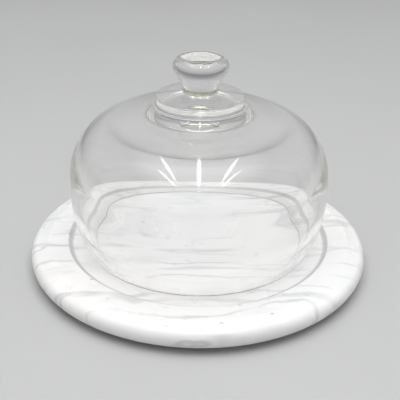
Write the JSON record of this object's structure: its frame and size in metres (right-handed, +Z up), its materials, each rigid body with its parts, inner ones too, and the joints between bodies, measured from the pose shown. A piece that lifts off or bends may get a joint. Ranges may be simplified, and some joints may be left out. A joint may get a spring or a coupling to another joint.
{
  "type": "cheese dome",
  "caption": "Clear glass cheese dome with a solid flared glass knob, lifting off a round white marble plate with a shallow coved recess and small bumper feet.",
  "frame": {"origin": "on the table, at the centre of the feet, below the centre of the plate", "axes": "+Z up along the common axis of the plate, the glass bell and its knob; -Y is the front"},
  "size_m": [0.3048, 0.3048, 0.1913],
  "materials": {
    "marble": "honed white marble with soft grey veins and a low sheen",
    "clear_glass": "clear pressed soda-lime glass, fire polished, with a faint yellow-green tint where it is thick",
    "bumper": "cloudy translucent silicone rubber"
  },
  "bodies": {
    "plate": {"marble_plate": "marble", "foot_1": "bumper", "foot_2": "bumper", "foot_3": "bumper", "foot_4": "bumper"},
    "bell": {"glass_bell": "clear_glass", "glass_knob": "clear_glass"}
  },
  "joints": [
    {"name": "bell_lift", "type": "slide", "parent": "plate", "child": "bell", "axis": [0, 0, 1], "range_m": [0, 0.15]}
  ]
}
